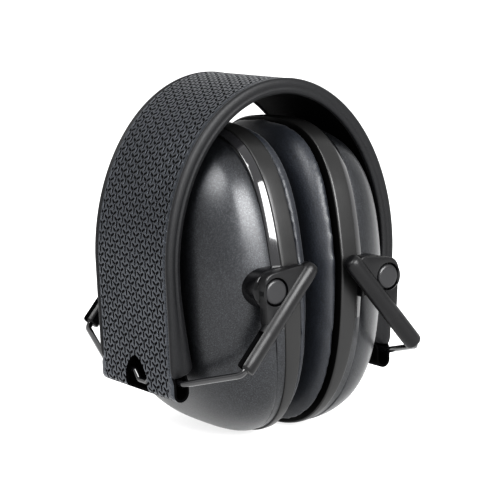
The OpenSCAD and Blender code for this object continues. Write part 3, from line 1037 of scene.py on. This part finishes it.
def cup_shell(side_name, side):
    """Dome with a glossy bevel and a groove at its foot, as (depth, inset, material)."""
    foot = [(13.72, 0.9, 0), (13.74, 0.55, 0), (13.86, 0.42, 1), (14.1, 0.46, 1), (15.2, 0.98, 1),
            (16.1, 1.42, 1), (16.3, 1.56, 1), (16.34, 1.72, 1), (16.05, 1.86, 2), (15.95, 2.02, 2),
            (16.1, 2.16, 2), (16.3, 2.2, 0)]
    rings = [cup_ring(x, d, 1.0, max(0.0, d - 0.45)) for x, d, m in foot]
    kinds = [m for x, d, m in foot]
    dome = dome_rings(44)
    verts, faces = rings_mesh(rings + dome, (False, True))
    mats = []
    for kind in kinds + [0] * (len(dome) - 1):
        mats += [kind if edge_depth(a) > 0.93 else 0 for a in CUP_ANGLES]
    mats.append(0)
    obj = make("cup_shell_shape_" + side_name, verts, faces, side, sharp=50, mats=mats)
    for m in (DOME, BEVEL, GROOVE):
        obj.data.materials.append(m)
    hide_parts("cup_shell_" + side_name)
    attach(obj, "cup_" + side_name)


def cup_lugs(side_name, side):
    """Round-nosed lugs at the front and rear of the cup, which the studs sit in."""
    r = 6.3
    centre = (PIVOT_X - 1.5, PIVOT_Z)
    start = RIM_BACK_X + 0.2
    nose = [(centre[0] + r * math.cos(a), PIVOT_Z + r * math.sin(a))
            for a in (math.radians(-90 + 180 * i / 24) for i in range(25))]
    planes = planes_of(nose + [(start, PIVOT_Z + r), (start, PIVOT_Z - r)])
    reach = radial_outline(planes, centre, 96, 30)
    edge = ((33.0, 0.0), (40.2, 0.0), (40.9, 0.1), (41.35, 0.42), (41.58, 0.95), (41.6, 1.6))
    parts = []
    for end in (-1, 1):
        v, f = rings_mesh([around(centre, reach, end * y, inset) for y, inset in edge],
                          (False, True))
        parts.append((v, flipped(f) if end > 0 else f))
    verts, faces = join_parts(parts)
    obj = make("cup_lugs_" + side_name, verts, faces, side, sharp=60)
    obj.data.materials.append(LUG)
    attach(obj, "cup_" + side_name)


def back_plate(side_name, side):
    """Plate between the shell and the cushion, open in the middle; t runs across it."""
    inner = (OPENING_HALF[0] + 1, OPENING_HALF[1] + 1)
    outer = (HALF_W - 2.95, HALF_H - 2.95)
    profile = [(7.8, 0.0), (7.72, 0.06), (7.72, 0.93), (7.85, 1.0), (9.5, 1.0), (9.7, 0.96),
               (9.7, 0.0)]
    rings = []
    for x, t in profile:
        half = [outer[i] + (inner[i] - outer[i]) * t for i in (0, 1)]
        rings.append([lean((x, y, z)) for y, z in oval(*half)])
    rings.append(rings[0])
    verts, faces = rings_mesh(rings, (False, False))
    obj = make("back_plate_shape_" + side_name, verts, flipped(faces), side, sharp=45)
    obj.data.materials.append(PLATE)
    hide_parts("back_plate_" + side_name)
    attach(obj, "cup_" + side_name)


def foam_liner(side_name, side):
    """Foam moulded into the dome, with a rounded front edge under the back plate."""
    wall, thick, front, steps = 2.6, 5.0, 10.8, 26
    rings = dome_rings(steps, wall)[::-1]
    for x, inset in ((front + 0.8, 3.0), (front, 3.9), (front, 7.2), (front + 0.9, 8.2)):
        rings.append([lean((x, y, z)) for y, z in oval(HALF_W - inset, HALF_H - inset)])
    rings += dome_rings(steps, wall + thick)
    verts, faces = rings_mesh(rings)
    obj = make("foam_liner_shape_" + side_name, verts, flipped(faces), side, sharp=70)
    obj.data.materials.append(FOAM)
    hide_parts("foam_liner_" + side_name)
    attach(obj, "cup_" + side_name)


# ---------------------------------------------------------------- ear cushions

def cushion_rings(swell, count=48):
    """Ring cushion before it is blown up: widest near the rim, rounder towards its face."""
    mid = [(CUSHION_HALF[i] + OPENING_HALF[i]) / 2 for i in (0, 1)]
    reach = [(CUSHION_HALF[i] - OPENING_HALF[i]) / 2 + swell for i in (0, 1)]
    rows = []
    for j in range(count):
        b = 2 * math.pi * (j + 0.5) / count
        full = 3.4 if math.sin(b) > 0 else 1.8
        out, along = spow(math.cos(b), 2 / full), spow(math.sin(b), 2 / full)
        ring = []
        for y, z in oval(mid[0] + reach[0] * out, mid[1] + reach[1] * out):
            back = RIM_X - 0.1 + z * math.tan(LEAN)
            widest = back - 0.24 * (back - FACE_X)
            depth = back - widest if along > 0 else widest - FACE_X
            ring.append((widest + along * depth, *domed_top(y, z)))
        rows.append(ring)
    rows.append(rows[0])
    return rows


def puffed(verts, faces, held, cap_mm, nearest_x):
    """Closed cover blown up a little as cloth, and how far each point may move capped.

    The cloth is worked out at ten times its size, because the solver suits larger pieces.
    held says which points keep their place, and no point comes nearer than nearest_x.
    """
    size, voxel_mm, frames = MM * 10.0, 1.15, 20
    start = bpy.data.meshes.new("cover_start")
    start.from_pydata([tuple(c * size for c in v) for v in verts], [], faces)
    obj = add("cover_start", start)
    remesh = obj.modifiers.new("remesh", "REMESH")
    remesh.mode, remesh.voxel_size = "VOXEL", voxel_mm * size
    graph = bpy.context.evaluated_depsgraph_get()
    mesh = bpy.data.meshes.new_from_object(obj.evaluated_get(graph))
    bpy.data.objects.remove(obj)
    bm = bmesh.new()
    bm.from_mesh(mesh)
    for _ in range(3):
        bmesh.ops.smooth_vert(bm, verts=bm.verts, factor=0.5, use_axis_x=True, use_axis_y=True,
                              use_axis_z=True)
    bm.to_mesh(mesh)
    bm.free()

    cover = add("cover", mesh)
    rest = [v.co.copy() for v in mesh.vertices]
    group = cover.vertex_groups.new(name="held")
    group.add([i for i, p in enumerate(rest) if held(p / size)], 1.0, "REPLACE")
    cloth = cover.modifiers.new("cloth", "CLOTH")
    cloth.settings.vertex_group_mass = "held"
    cloth.settings.quality = 6
    cloth.settings.mass = 0.3
    cloth.settings.bending_stiffness = 8
    cloth.settings.use_pressure = True
    cloth.settings.uniform_pressure_force = 4
    cloth.settings.effector_weights.gravity = 0
    cloth.point_cache.frame_start, cloth.point_cache.frame_end = 1, frames
    scene = bpy.context.scene
    for step in range(1, frames + 1):
        scene.frame_set(step)
    graph = bpy.context.evaluated_depsgraph_get()
    done = cover.evaluated_get(graph).to_mesh()
    out = []
    for p, v in zip(rest, done.vertices):
        move = v.co - p
        if move.length > cap_mm * size:
            move *= cap_mm * size / move.length
        q = (p + move) / size
        out.append((max(q.x, nearest_x), q.y, q.z))
    shape = [tuple(f.vertices) for f in mesh.polygons]
    bpy.data.objects.remove(cover)
    scene.frame_set(1)

    near = [set() for _ in out]
    for f in shape:
        for a, b in zip(f, f[1:] + f[:1]):
            near[a].add(b)
            near[b].add(a)
    for _ in range(6):
        out = [tuple(0.5 * p[i] + 0.5 * sum(out[j][i] for j in near[k]) / len(near[k])
                     for i in range(3)) for k, p in enumerate(out)]
    return out, shape


def cushion_mesh():
    """Ring cushion blown up as cloth, its back held to the plate."""
    verts, faces = rings_mesh(cushion_rings(-0.2), (False, False))
    return puffed(verts, faces, lambda p: p.x > RIM_X - 1.3 + p.z * math.tan(LEAN),
                  cap_mm=1.3, nearest_x=1.0)


CUSHION_MESH = cushion_mesh()


def ear_cushion(side_name, side):
    verts, faces = CUSHION_MESH
    obj = make("ear_cushion_shape_" + side_name, verts, faces, side, sharp=80)
    face_outward(obj)
    obj.data.materials.append(CUSHION)
    obj.modifiers.new("subdivision", "SUBSURF")
    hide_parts("ear_cushion_" + side_name)
    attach(obj, "cup_" + side_name)


for side_name, side in SIDES:
    cup_rim(side_name, side)
    cup_shell(side_name, side)
    cup_lugs(side_name, side)
    back_plate(side_name, side)
    foam_liner(side_name, side)
    ear_cushion(side_name, side)
